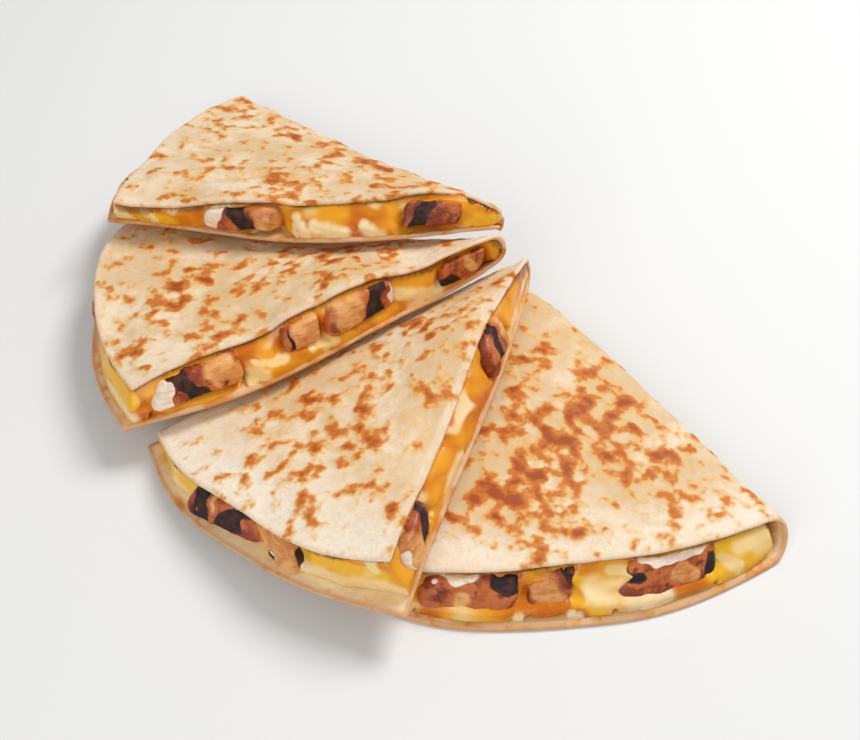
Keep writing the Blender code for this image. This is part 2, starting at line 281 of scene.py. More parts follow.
chickenLook = {
    "fineness": 4,  # subdivisions
    "proud": 0.0013,  # how far it stands out of the cut side
    "stretch": (1.04, 1.0, 1.22),  # along, outward and up, so that it fills its pocket
    "warpSize": 0.0035,  # the waves in its patches' edges: how long they are
    "warp": (0.16, 0.18),  # and how strong, along and up
    # per piece: the side it shows at, then its charred, white and golden patches. Each patch is a place along
    # the piece (-1 to 1, towards the tip or the front corner), a place up it, a turn in degrees, and half its
    # width and length.
    "pieces": {
        "a1": ("front", [(0.05, 0.30, 22, 0.22, 1.3)], [(-0.85, 0, -11, 0.36, 3)],
               [(0.70, 0.50, 0, 0.35, 0.8)]),
        "a2": ("front", [(-0.45, 0.20, -17, 0.26, 1.3), (0.90, -0.2, 0, 0.15, 0.35)], [], []),
        "a3": ("rim", [(0.20, 0, 20, 0.18, 3)], [(0.95, 0, 0, 0.3, 3)], []),
        "b1": ("front", [(0.02, 0, 22, 0.20, 2)], [(-0.80, 0, -6, 0.32, 3)],
               [(0.62, 0.45, 10, 0.36, 1.1)]),
        "b2": ("front", [(-0.6, -0.1, 0, 0.10, 0.7)], [], [(0.35, 0.10, 0, 0.85, 3)]),
        "b3": ("front", [(0.33, 0, -8, 0.22, 3)], [(1.00, 0.50, 0, 0.20, 0.9)],
               [(-0.35, 0.30, 0, 0.45, 1.0)]),
        "b4": ("front", [(-0.60, -0.45, 0, 0.32, 0.6), (0.95, 0, 0, 0.15, 1.5)], [],
               [(0.2, 0.4, 30, 0.2, 0.5)]),
        "b5": ("rim", [(-0.20, 0, 20, 0.15, 3)], [(-1.0, 0, 0, 0.3, 3)], []),
        "c1": ("front", [(0.0, 0, -6, 0.24, 3)], [], [(0.75, 0.2, 0, 0.30, 1.2)]),
        "c2": ("front", [(0.50, 0.20, -20, 0.26, 0.9)], [(-1.05, 0, 0, 0.25, 3)],
               [(-0.4, 0.0, 0, 0.5, 0.9)]),
        "c3": ("rim", [(-0.72, 0.10, 15, 0.26, 3), (0.28, 0.10, -12, 0.22, 3)], [],
               [(-0.25, 0.2, 0, 0.12, 0.5)]),
        "c4": ("rim", [(-0.3, -0.80, 0, 0.22, 0.3), (0.95, 0.4, 0, 0.2, 0.8)], [], [(0, 0.1, 0, 1.1, 2)]),
        "d1": ("rim", [(0.75, 0.60, 35, 0.32, 0.55)], [(-0.40, 0.90, 90, 0.30, 0.60)],
               [(-0.1, -0.1, 0, 0.25, 0.5)]),
        "d2": ("rim", [(0.9, 0.3, 30, 0.2, 0.9)], [], [(-0.2, 0, 25, 0.6, 3)]),
        "d3": ("rim", [(0.86, -0.20, 0, 0.15, 0.9), (-0.85, 0.60, 40, 0.22, 0.6)],
               [(0.25, 0.92, 90, 0.26, 0.75)], [(0.35, 0.1, 0, 0.22, 0.6)]),
    },
    "relief": {"Lump Height": 0.0020, "Fibre Height": 0.0004, "Mark Depth": 0.0004},
}


def piecesIn(name):
    return [number for number in chickenLook["pieces"] if number[0] == name]


def chunkFrame(number):
    # a piece's middle, its own directions (along its side, outward, up) and its half sizes
    name, side = number[0], chickenLook["pieces"][number][0]
    points = pointsOf(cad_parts["chicken_" + number].data)
    middle = (points.max(0) + points.min(0)) / 2
    facts = fan["wedges"][name]
    across = 1.0 if side == "front" else wedgePlace(name, middle[None, :])[1][0]
    angle = math.radians(facts["back"] + across * (facts["front"] - facts["back"]))
    ray = np.array((math.cos(angle), math.sin(angle), 0.0))
    square = np.array((-ray[1], ray[0], 0.0))
    axes = np.array([-ray, square, (0, 0, 1)] if side == "front" else [square, ray, (0, 0, 1)])
    own = (points - middle) @ axes.T
    return middle + (own.max(0) + own.min(0)) / 2 @ axes, axes, (own.max(0) - own.min(0)) / 2


def sagOf(name, points):
    # how far the upper layer sinks at its open sides, between the pieces of chicken that hold it up
    reach, across = wedgePlace(name, points)
    outside = np.minimum((1 - across) * np.maximum(reach, 0.05) * 0.10, (1 - reach) * fan["radius"])
    held = np.zeros(len(points))
    for number in piecesIn(name):
        middle, axes, half = chunkFrame(number)
        gap = np.hypot(*(points[:, :2] - middle[:2]).T)
        held = np.maximum(held, np.exp(-(gap / (half[0] * 1.15)) ** 4))
    near = (1 - smoothStep(outside, 0.002, 0.020)) * smoothStep(reach, 0.10, 0.28)
    near = near * (1 - smoothStep(reach, 0.90, 1.0))
    return tortillaLook["sag"][name] * (1 - held) * near


tortillaLook = {
    "thickness": 0.0013,
    "sharpest": 0.9,  # the bend, in radians, that parts the sheet's outside from its rim and its inside
    "rimSteps": 3,
    "rimBulge": 0.42,  # of the thickness
    "overlap": 0.0002,  # how far the filling may reach into the sheet
    "fineness": 4,  # subdivisions
    "spotScale": 205.0,  # toasted spots, to the metre
    "patchScale": 80.0,  # the broader patches that they gather in
    # warmer places on the upper side: reach, across, size, strength
    "hot": {
        "a": [(0.82, 0.15, 0.006, 0.9), (0.72, 0.18, 0.009, 0.8), (0.50, 0.16, 0.010, 0.9),
              (0.37, 0.31, 0.006, 0.9), (0.24, 0.51, 0.008, 1.0), (0.60, 0.92, 0.008, 1.0),
              (0.87, 0.29, 0.005, 0.8), (0.50, 0.98, 0.007, 0.8), (0.85, 0.43, 0.006, 0.6),
              (0.77, 0.90, 0.006, 0.7), (0.30, 0.20, 0.010, 0.6)],
        "b": [(0.51, 0.43, 0.013, 1.0), (0.40, 0.42, 0.010, 0.8), (0.78, 0.44, 0.009, 0.9),
              (0.79, 0.60, 0.009, 1.0), (0.85, 0.30, 0.008, 0.6), (0.74, 0.90, 0.009, 0.8),
              (0.58, 0.58, 0.008, 0.6), (0.30, 0.35, 0.012, 0.7)],
        "c": [(0.68, 0.68, 0.008, 1.5), (0.83, 0.52, 0.014, 0.9), (0.73, 0.45, 0.012, 0.9),
              (0.52, 0.48, 0.007, 1.3), (0.61, 0.39, 0.008, 1.4), (0.53, 0.80, 0.009, 0.8),
              (0.84, 0.89, 0.006, 1.0), (0.36, 0.45, 0.012, 0.8), (0.66, 0.20, 0.012, 0.5),
              (0.25, 0.5, 0.02, 0.5)],
        "d": [(0.66, 0.50, 0.012, 1.0), (0.79, 0.42, 0.012, 1.3), (0.77, 0.24, 0.012, 1.1),
              (0.58, 0.24, 0.014, 0.9), (0.54, 0.72, 0.010, 1.0), (0.58, 0.87, 0.007, 0.9),
              (0.73, 0.88, 0.009, 0.9), (0.80, 0.78, 0.009, 1.4), (0.86, 0.94, 0.008, 0.8),
              (0.35, 0.49, 0.008, 0.9), (0.42, 0.79, 0.007, 0.7), (0.23, 0.50, 0.008, 0.8),
              (0.54, 0.48, 0.014, 0.9), (0.70, 0.32, 0.010, 0.8), (0.45, 0.30, 0.016, 0.6),
              (0.66, 0.70, 0.02, 0.4)],
    },
    "warmth": {"a": 0.30, "b": 0.20, "c": 0.05, "d": 0.0},  # how toasted it is all over
    "spotLift": 0.14,  # how much a warm place adds to the toast
    "paleness": {"a": 0.40, "b": 0.25, "c": 0.85, "d": 0.80},  # how pale the upper side is towards the rim
    "oiled": {"a": 0.55, "b": 0.70, "c": 0.35, "d": 0.70},  # how golden the inside of the sheet is
    "relief": {"Blister Height": 0.0003, "Wave Height": 0.0022, "Dimple Depth": 0.0004},
    # how far the upper side sinks between the pieces of chicken
    "sag": {"a": 0.0020, "b": 0.0018, "c": 0.0012, "d": 0.0012},
}


def toastOf(graph, place, heat):
    # how toasted the sheet is: under 0.6 not at all, over 0.8 dark
    spots = graph.noise(place, tortillaLook["spotScale"], 2.0, 0.5, 0.1)
    patches = graph.noise(place, tortillaLook["patchScale"], 1.0, 0.5, 0.3)
    return spots * 1.35 - 0.175 + (patches - 0.5) * 0.55 + heat * tortillaLook["spotLift"]


def paintTortilla(graph):
    place = graph.place()
    heat, edge, inner = graph.attribute("warmed"), graph.attribute("edge"), graph.attribute("inner")
    rimToast, paleness, oiled = graph.attribute("rimToast"), graph.attribute("paleness"), graph.attribute("oiled")
    toast = toastOf(graph, place, heat)
    cloud = graph.noise(place, 46.0, 4.0, 0.6, 0.3)
    flour = graph.noise(place, 900.0, 3.0, 0.7)
    streak = graph.noise(place, 150.0, 3.0, 0.6, 0.5)
    speck = graph.noise(place, 420.0, 2.0, 0.5)
    dough = graph.mix(cloud.rise(0.36, 0.60), linear(238, 215, 186), linear(219, 186, 142))
    dough = graph.mix(streak.rise(0.50, 0.68) * 0.45, dough, linear(212, 170, 112))
    # paler towards the rim, which is flour, and near every edge, which is partly flour and partly a painted
    # highlight
    paleShare = paleness + (cloud - 0.5) * 1.2 + (speck - 0.5) * 0.5
    dough = graph.mix(paleShare.rise(0.20, 0.95), dough, linear(243, 227, 206))
    dough = graph.mix(flour.rise(0.42, 0.70) * 0.28, dough, linear(212, 180, 138))
    toast = toast + (speck - 0.5) * 0.26 - paleness * 0.05
    ochre = graph.mix(toast.rise(0.52, 0.70) * 0.8, dough, linear(228, 176, 100))
    brown = graph.mix(toast.rise(0.63, 0.79), ochre, linear(203, 118, 46))
    dark = graph.mix(toast.rise(0.77, 0.98), brown, linear(162, 74, 22))
    scorch = graph.noise(place, 160.0, 2.0)
    rim = (edge.rise(0.0016, 0.0) * rimToast * (0.35 + scorch * 0.7)).least(1.0)
    rimmed = graph.mix(rim, dark, linear(206, 138, 66))
    oily = graph.noise(place, 120.0, 3.0)
    golden = (oiled + (oily - 0.5) * 1.2).rise(0.15, 0.85)
    lining = graph.mix(golden, linear(250, 226, 178), linear(228, 172, 94))
    colour = graph.mix(inner * edge.rise(0.0, 0.003), rimmed, lining)
    grain = graph.noise(place, 520.0, 4.0, 0.65)
    heights = {"Height": grain + toast * 0.6, "Strength": 0.30, "Distance": 0.0005}
    bump = graph.add("ShaderNodeBump", {}, heights)
    roughness = 0.78 - toast.rise(0.72, 0.9) * 0.2 - inner * 0.2
    return {"Base Color": colour, "Roughness": roughness, "Normal": bump}


def reliefOfTortilla(graph, geometry, sizes):
    place, heat, edge = graph.place(), graph.attribute("warmed"), graph.attribute("edge")
    toast = toastOf(graph, place, heat)
    wave = graph.noise(place, 38.0, 2.0) - 0.5
    dimple = graph.noise(place, 150.0, 3.0) - 0.5
    lift = toast.rise(0.56, 0.72) * sizes["Blister Height"] + wave * sizes["Wave Height"]
    lift = lift + dimple * sizes["Dimple Depth"]
    away = graph.stretch(graph.add("GeometryNodeInputNormal"), lift * edge.rise(-0.004, 0.006))
    return graph.add("GeometryNodeSetPosition", {}, {"Geometry": geometry, "Offset": away})


def largestSkin(shape):
    # keeps only the largest patch of faces that no sharp edge crosses: the sheet's outside
    sharpest = tortillaLook["sharpest"]
    shape.faces.ensure_lookup_table()
    patch = [-1] * len(shape.faces)
    areas = []
    for start in shape.faces:
        if patch[start.index] >= 0:
            continue
        patch[start.index] = len(areas)
        waiting, area = [start], 0.0
        while waiting:
            face = waiting.pop()
            area += face.calc_area()
            for edge in face.edges:
                for other in edge.link_faces:
                    if patch[other.index] < 0 and edge.calc_face_angle(0.0) < sharpest:
                        patch[other.index] = len(areas)
                        waiting.append(other)
        areas.append(area)
    keep = areas.index(max(areas))
    spare = [face for face in shape.faces if patch[face.index] != keep]
    bmesh.ops.delete(shape, geom=spare, context="FACES")


def thicken(mesh):
    # a closed sheet from its outside: an inside, and a rounded rim
    thickness, steps = tortillaLook["thickness"], tortillaLook["rimSteps"]
    points, normals = pointsOf(mesh), normalsOf(mesh)
    count = len(points)
    loops = loopValues(mesh, "vertex_index")
    faces = [list(loops[face.loop_start:face.loop_start + face.loop_total]) for face in mesh.polygons]
    # the open edges, and the outward direction at their corners
    used = dict.fromkeys(pair for face in faces for pair in zip(face, face[1:] + face[:1]))
    border = [(i, j) for i, j in used if (j, i) not in used]
    outward = np.zeros_like(points)
    for i, j in border:
        away = np.cross(points[j] - points[i], normals[i])
        outward[i] += away
        outward[j] += away
    ring = sorted({i for pair in border for i in pair})
    number = {v: k for k, v in enumerate(ring)}
    away = outward[ring] / np.linalg.norm(outward[ring], axis=1)[:, None]
    # the rounded rim, from the outside's edge to the inside's
    middle = points[ring] - normals[ring] * thickness / 2
    allPoints = [points, points - normals * thickness]
    for step in range(1, steps + 1):
        turn = math.pi * step / (steps + 1)
        inward = normals[ring] * thickness / 2 * math.cos(turn)
        allPoints.append(middle + inward + away * tortillaLook["rimBulge"] * thickness * math.sin(turn))

    def ringVertex(step, v):
        if step == 0:
            return v
        return count + v if step == steps + 1 else 2 * count + (step - 1) * len(ring) + number[v]

    allFaces = faces + [[v + count for v in reversed(face)] for face in faces]
    for i, j in border:
        for step in range(steps + 1):
            corners = ((step, j), (step, i), (step + 1, i), (step + 1, j))
            allFaces.append([ringVertex(*corner) for corner in corners])
    sheet = bpy.data.meshes.new(mesh.name)
    sheet.from_pydata(np.vstack(allPoints).tolist(), [], allFaces)
    for name in ("warmed", "edge", "rimToast", "paleness", "oiled"):
        values = read(mesh, name)
        store(sheet, name, np.concatenate([values, values] + [values[ring]] * steps))
    inner = [np.zeros(count), np.ones(count)]
    inner += [np.full(len(ring), step / (steps + 1)) for step in range(1, steps + 1)]
    store(sheet, "inner", np.concatenate(inner))
    sheet.shade_smooth()
    return sheet


def treeWhere(mesh, chosen):
    # the quads whose corners are all chosen, as a tree to cast rays at
    corners = loopValues(mesh, "vertex_index").reshape(len(mesh.polygons), -1)
    return BVHTree.FromPolygons(pointsOf(mesh), corners[chosen[corners].all(1)].tolist())


def tuckIn(name, mesh):
    # keeps a piece of the filling between the outsides of its wedge's two layers
    points = pointsOf(mesh)
    upper, lower = skins[name]
    room = tortillaLook["thickness"] - tortillaLook["overlap"]
    wellAbove, wellBelow = 0.2, -0.1
    for point in points:
        above = upper.ray_cast(Vector((point[0], point[1], wellAbove)), Vector((0, 0, -1)))[0]
        below = lower.ray_cast(Vector((point[0], point[1], wellBelow)), Vector((0, 0, 1)))[0]
        if above:
            point[2] = min(point[2], above.z - room)
        if below:
            point[2] = max(point[2], below.z + room)
    setPoints(mesh, points)


def borderOf(mesh):
    # the vertices of the edges that have one face
    used = np.zeros(len(mesh.edges), np.int32)
    np.add.at(used, loopValues(mesh, "edge_index"), 1)
    ends = np.zeros(len(mesh.edges) * 2, np.int32)
    mesh.edges.foreach_get("vertices", ends)
    return np.unique(ends.reshape(-1, 2)[used == 1])


def markTortilla(name, mesh):
    # stores what the paint and the relief need, and keeps the lower layer's edge in lips
    points, normals = pointsOf(mesh), normalsOf(mesh)
    border = borderOf(mesh)
    rims = KDTree(len(border))
    for i in border:
        rims.insert(points[i], int(i))
    rims.balance()
    edge = np.array([rims.find(point)[2] for point in points])
    reach, across = wedgePlace(name, points)
    upper = smoothStep(normals[:, 2], -0.3, 0.3)
    warm = np.full(len(points), tortillaLook["warmth"][name])
    for spotReach, spotAcross, size, strength in tortillaLook["hot"][name]:
        gap = np.hypot(*(points[:, :2] - spotOn(name, spotReach, spotAcross)).T)
        warm += strength * np.exp(-(gap / size) ** 2) * upper
    warm += (1 - upper) * (0.35 + 0.25 * np.sin(points[:, 0] * 90) * np.sin(points[:, 1] * 70 + 1))
    store(mesh, "upper", upper)
    store(mesh, "warmed", warm)
    store(mesh, "edge", edge)
    pale = tortillaLook["paleness"][name] * smoothStep(reach, 0.70, 0.95) * upper
    # near every edge the sheet is paler still: partly flour, partly a painted highlight along the rounded
    # edge
    store(mesh, "paleness", np.maximum(pale, 0.55 * (1 - smoothStep(edge, 0.0006, 0.0034))))
    store(mesh, "oiled", np.full(len(points), tortillaLook["oiled"][name]))
    store(mesh, "rimToast", 0.25 + 0.75 * (1 - upper))
    lips[name] = points[border][upper[border] < 0.5]


def makeTortilla(name, material, tree):
    shape = cadShape("tortilla_" + name)
    largestSkin(shape)
    piece = pieceFrom("sheet_" + name, shape)
    finer = piece.modifiers.new("finer", "SUBSURF")
    finer.levels = finer.render_levels = tortillaLook["fineness"]
    finer.boundary_smooth = "PRESERVE_CORNERS"
    bake(piece)
    markTortilla(name, piece.data)
    shapeWith(piece, tree, material)
    outside = piece.data
    points, upper = pointsOf(outside), read(outside, "upper")
    points[:, 2] -= sagOf(name, points) * upper
    points[:, 2] = np.maximum(points[:, 2], 0)  # it lies flat on the table
    setPoints(outside, points)
    skins[name] = [treeWhere(outside, upper > 0.5), treeWhere(outside, upper <= 0.5)]
    piece.data = thicken(outside)
    piece.data.materials.append(material)
    bpy.data.meshes.remove(outside)
    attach(piece, "root")
    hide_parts("tortilla_" + name)


lips = {}  # the lower layer's edge of each wedge
skins = {}  # the outsides of each wedge's upper and lower layer
toasted = finish("toasted tortilla", paintTortilla, {
    "Subsurface Weight": 0.12, "Subsurface Radius": (0.004, 0.0022, 0.0011), "Subsurface Scale": 1.0,
    "Specular IOR Level": 0.35})
tortillaTree = shaper("tortilla relief", tortillaLook["relief"], reliefOfTortilla)
for wedge in fan["wedges"]:
    makeTortilla(wedge, toasted, tortillaTree)
    print("tortilla", wedge)


cheeseLook = {
    "voxel": 0.00062,  # the mesh's fineness
    "swell": 0.0007,  # how much it grows all round, which closes the gaps round the chicken
    "press": 0.0003,  # how far it goes into the sheet above and below
    "toTip": 0.0038,  # how far it runs into the tip
    "search": 0.02,  # how far up and down the sheet is looked for
    "openHeight": 0.011,  # the filling's height where no layer is above it
    "nearSheet": (0.0012, 0.0026),  # wholly pressed against the sheet, and not at all
    "setBack": 0.0036,  # how far behind a piece of chicken's face it stands
    "bareCentre": 0.24,  # where the bared part's middle is, above the piece's own, in half heights
    # how much of the lower layer's lip it leaves bare, and how far it runs out at most
    "bareAtSide": 0.0007,
    "bareAtRim": {"a": 0.0016, "b": 0.0020, "c": 0.0060, "d": 0.0015},
    "runAtSide": 0.0140,
    "runAtRim": 0.0080,
    # strands: side, from and to in mm along it, height from and to, hump, width in mm, 1 cream or -1 yellow
    "strands": {
        "a": [("front", 88, 74, 0.10, 0.30, 0.0, 0.8, 1), ("front", 73, 70, 0.42, 0.15, 0.0, 1.1, 1),
              ("front", 63, 62, 0.90, 0.08, 0.0, 0.6, 1), ("front", 63, 51, 0.88, 0.08, 0.05, 1.0, 1),
              ("front", 57, 48, 0.78, 0.72, 0.0, 1.2, 1), ("front", 52, 46, 0.28, 0.22, 0.0, 2.0, -1),
              ("front", 42, 19, 0.80, 0.08, 0.0, 1.1, 1), ("front", 31, 29, 0.92, 0.75, 0.0, 0.8, 1),
              ("front", 15, 3, 0.6, 0.5, 0.0, 2.2, -1), ("front", 118, 98, 0.5, 0.35, 0.1, 2.5, -1),
              ("front", 121, 117, 0.6, 0.5, 0.2, 1.1, 1), ("front", 112, 107, 0.85, 0.3, 0.1, 0.6, 1)],
        "b": [("front", 121, 99, 0.04, 0.10, 0.0, 1.2, 1), ("front", 99, 83, 0.10, 0.45, 0.0, 1.3, 1),
              ("front", 84, 60, 0.66, 0.50, 0.0, 0.6, 1), ("front", 66, 40, 0.16, 0.24, -0.04, 1.0, 1),
              ("front", 68, 62, 0.04, 0.14, 0.0, 0.7, 1), ("front", 62, 46, 0.02, 0.08, 0.0, 1.2, -1),
              ("front", 40, 33, 0.70, 0.60, 0.0, 1.5, 1), ("front", 38, 28, 0.25, 0.50, 0.1, 1.2, 1),
              ("front", 27, 12, 0.02, 0.05, 0.0, 0.8, 1), ("front", 9, 3, 0.55, 0.5, 0.0, 1.7, 1),
              ("rim", 3, 24, 0.55, 0.6, 0.1, 1.4, -1), ("rim", 2, 18, 0.06, 0.10, 0.1, 1.1, 1),
              ("front", 124, 119, 0.4, 0.3, 0.0, 1.8, -1)],
        "c": [("front", 4, 24, 0.5, 0.5, 0.0, 2.4, -1), ("front", 25, 33, 0.5, 0.4, 0.1, 1.3, 1),
              ("front", 78, 92, 0.5, 0.35, 0.1, 1.3, 1), ("rim", 44, 5, 0.02, 0.08, 0.05, 1.7, 1),
              ("rim", 31, 24, 0.6, 0.6, 0.0, 1.7, -1), ("rim", 20, 8, 0.55, 0.45, 0.0, 1.7, -1),
              ("rim", 13, 10, 0.9, 0.7, 0.0, 0.7, 1), ("rim", 99, 76, 0.5, 0.5, 0.0, 4.5, -1),
              ("rim", 86, 76, 0.05, 0.05, 0.0, 0.9, 1)],
        "d": [("rim", 84, 62, 0.04, 0.02, 0.06, 0.8, 1), ("rim", 66, 56, 0.85, 0.25, 0.0, 2.2, -1),
              ("rim", 57, 37, 0.50, 0.10, 0.06, 2.2, 1), ("rim", 52, 46, 0.85, 0.8, 0.0, 1.0, 1),
              ("rim", 22, 2, 0.5, 0.5, 0.0, 4.5, -1), ("rim", 15, 6, 0.75, 0.85, 0.0, 1.3, 1),
              ("rim", 20, 16, 0.55, 0.25, 0.0, 0.9, 1), ("rim", 110, 86, 0.02, 0.02, 0.0, 0.7, 1)],
    },
    "relief": {"Strand Height": 0.00015, "Flow Height": 0.0018},
}


def sideLine(name, side, distance):
    # the point so far along a side, from the tip or from the front corner, and the outward direction there
    facts = fan["wedges"][name]
    front = math.radians(facts["front"])
    if side == "front":
        ray = np.array((math.cos(front), math.sin(front)))
        return tipOf(name) + ray * distance, np.array((-ray[1], ray[0]))
    angle = front - distance / fan["radius"]
    ray = np.array((math.cos(angle), math.sin(angle)))
    return tipOf(name) + ray * fan["radius"], ray


def fillingOf(name):
    # all of a wedge's filling as one tree to cast rays at
    points, faces = [], []
    for nodeName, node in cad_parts.items():
        if nodeName.startswith(("cheese_" + name, "chicken_" + name)):
            start = len(points)
            points += [v.co.copy() for v in node.data.vertices]
            faces += [[start + v for v in face.vertices] for face in node.data.polygons]
    return BVHTree.FromPolygons(points, faces)


def sideProfile(filling, name, side, distance):
    # points up the filling's side there, from the lowest to the highest, found by rays every half millimetre
    start, away = sideLine(name, side, distance)
    origin, inward = start + away * 0.03, Vector((-away[0], -away[1], 0))
    found = []
    for step in range(2, 86):
        hit = filling.ray_cast(Vector((origin[0], origin[1], step * 0.0005)), inward, 0.05)[0]
        if hit:
            found.append(hit)
    return found


def strandPoints(filling, name, side, first, last, low, high, hump):
    # a strand's points, one to the mm: low and high are its heights at its ends, and hump lifts its middle
    steps = max(6, int(abs(last - first)))
    path = []
    for step in range(steps + 1):
        share = step / steps
        found = sideProfile(filling, name, side, (first + (last - first) * share) / 1000)
        if not found:
            continue
        height = min(1.0, max(0.0, low + (high - low) * share + hump * math.sin(math.pi * share)))
        path.append(found[round(height * (len(found) - 1))])
    return path


def paintCheese(graph):
    place = graph.place()
    cream, yellow, under = graph.attribute("cream"), graph.attribute("yellow"), graph.attribute("under")
    warp = graph.add("ShaderNodeTexNoise", {}, {"Vector": place, "Scale": 80.0, "Detail": 1.0}, "Color")
    bent = graph.vector("ADD", place, graph.stretch(graph.vector("SUBTRACT", warp, (0.5, 0.5, 0.5)), 0.012))
    swirl = graph.noise(graph.vector("MULTIPLY", bent, (1.0, 1.0, 1.9)), 70.0, 1.0, 0.4)
    wobble = (graph.noise(place, 150.0, 2.0) - 0.5) * 0.9
    hue = graph.noise(bent, 75.0, 2.0)
    amber = graph.mix(hue.rise(0.34, 0.62), linear(204, 106, 2), linear(232, 158, 30))
    gold = graph.mix((yellow + wobble).rise(1.35, 0.65), amber, linear(239, 180, 34))
    pale = (swirl.rise(0.60, 0.72) * 0.8).most((cream + wobble).rise(1.70, 0.35) * 0.85)
    ivory = graph.mix(hue.rise(0.3, 0.7), linear(250, 230, 184), linear(242, 206, 132))
    colour = graph.mix(pale, gold, ivory)
    # painted shade under the upper sheet, with some browning of the cheese: dark brown where the sheet lies
    # close above
    shadeAndBrowning = under * (0.50 + graph.noise(place, 60.0, 2.0) * 1.0)
    colour = graph.mix(shadeAndBrowning.least(0.92), colour, linear(110, 48, 6))
    heights = {"Height": swirl + graph.noise(place, 260.0, 2.0) * 0.3, "Strength": 0.35, "Distance": 0.0008}
    bump = graph.add("ShaderNodeBump", {}, heights)
    return {"Base Color": colour, "Roughness": 0.22 + graph.noise(place, 90.0, 2.0) * 0.22, "Normal": bump}


def reliefOfCheese(graph, geometry, sizes):
    place, cream = graph.place(), graph.attribute("cream")
    flow = graph.noise(graph.vector("MULTIPLY", place, (1.0, 1.0, 1.6)), 75.0, 2.0, 0.4, 0.8) - 0.5
    lift = cream.rise(2.2, 0.0) * sizes["Strand Height"] + flow * sizes["Flow Height"]
    away = graph.stretch(graph.add("GeometryNodeInputNormal"), lift)
    return graph.add("GeometryNodeSetPosition", {}, {"Geometry": geometry, "Offset": away})


def nearness(points, paths):
    # distance to the nearest strand, in that strand's own widths
    far, atOnce = 9.0, 20000
    least = np.full(len(points), far)
    for path, width in paths:
        line = np.array([tuple(spot) for spot in path])
        for start in range(0, len(points), atOnce):
            part = slice(start, start + atOnce)
            gap = np.linalg.norm(points[part, None] - line[None], axis=2).min(1)
            gap = np.maximum(0, gap - cheeseLook["swell"])
            least[part] = np.minimum(least[part], gap / width)
    return least


def roomRound(name, points):
    # how far up and how far down each point's wedge has a face of its sheet, at most the search distance
    search = cheeseLook["search"]
    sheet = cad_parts["tortilla_" + name].data
    tree = BVHTree.FromPolygons([v.co for v in sheet.vertices], [f.vertices for f in sheet.polygons])
    up, down = np.full(len(points), search), np.full(len(points), search)
    for i, point in enumerate(points):
        for heights, way in ((up, 1), (down, -1)):
            hit = tree.ray_cast(Vector(point), Vector((0, 0, way)), search)
            if hit[0]:
                heights[i] = hit[3]
    return up, down


def nearestLip(name, points):
    # the spot of the lower layer's lip that is nearest to each point, seen from above
    spots = lips[name]
    tree = KDTree(len(spots))
    for i, spot in enumerate(spots):
        tree.insert((spot[0], spot[1], 0), i)
    tree.balance()
    return spots[[tree.find((point[0], point[1], 0))[1] for point in points]]


def settle(name, points, normals):
    # presses the filling against both layers, runs it out over the lower one's lip and into the tip
    # into the tip
    reach, across = wedgePlace(name, points)
    ray = (points[:, :2] - tipOf(name)) / np.maximum(1e-6, reach * fan["radius"])[:, None]
    points[:, :2] -= ray * (cheeseLook["toTip"] * (1 - smoothStep(reach, 0.08, 0.26)))[:, None]
    # against both layers, of which the upper one sags; share is a point's height between them
    up, down = roomRound(name, points)
    found = cheeseLook["search"] - 0.001
    share = np.clip(down / np.where(up > found, cheeseLook["openHeight"], up + down), 0, 1)
    points[:, 2] -= sagOf(name, points) * share
    press, near = cheeseLook["press"], cheeseLook["nearSheet"]
    points[:, 2] -= (down + press) * (1 - smoothStep(down, *near)) * (down < found)
    points[:, 2] += (up + press) * (1 - smoothStep(up, *near)) * (up < found)
    # out over the lip, most at the bottom and where the filling's side is upright or overhangs
    lip = nearestLip(name, points)
    away = lip[:, :2] - points[:, :2]
    gap = np.hypot(away[:, 0], away[:, 1])
    atRim = wedgePlace(name, lip)[0] > 0.96
    keep = np.where(atRim, cheeseLook["bareAtRim"][name], cheeseLook["bareAtSide"])
    limit = np.where(atRim, cheeseLook["runAtRim"], cheeseLook["runAtSide"])
    run = np.maximum(gap - keep, 0) * (1 - smoothStep(share, 0.05, 0.9))
    run = run * (1 - smoothStep(gap / limit, 0.7, 1.0))
    under = (1 - smoothStep(share, 0.12, 0.32)) * (normals[:, 2] < 0) * (reach > 0.12)
    run *= np.maximum(smoothStep(1 - np.abs(normals[:, 2]), 0.05, 0.5), under)
    points[:, :2] += away / np.maximum(1e-6, gap)[:, None] * run[:, None]
    # the second value is how close the sheet above each point is, which sets the cheese's painted shade under
    # it
    return points, 1 - smoothStep(up, 0.0006, 0.0048)


def bareChunk(points, number):
    # sets the cheese back behind a piece of chicken's face, up to an uneven edge
    middle, axes, half = chunkFrame(number)
    own = (points - middle) @ axes.T / half
    centre, behind = cheeseLook["bareCentre"], 1 - cheeseLook["setBack"] / half[1]
    for i in np.nonzero((np.abs(own) < (1.5, 2.5, 1.5)).all(1))[0]:
        wobble = 0.16 * noise.noise(Vector(points[i]) * 210)
        high = own[i, 2] - centre
        high = high / 1.15 if high > 0 else -high / (1 - centre)
        bare = 1 - smoothStep(abs(own[i, 0]) + wobble, 0.85, 1.45)
        bare *= 1 - smoothStep(high + wobble, 0.88, 1.22)
        own[i, 1] += (min(own[i, 1], behind) - own[i, 1]) * bare
        points[i] = middle + own[i] * half @ axes


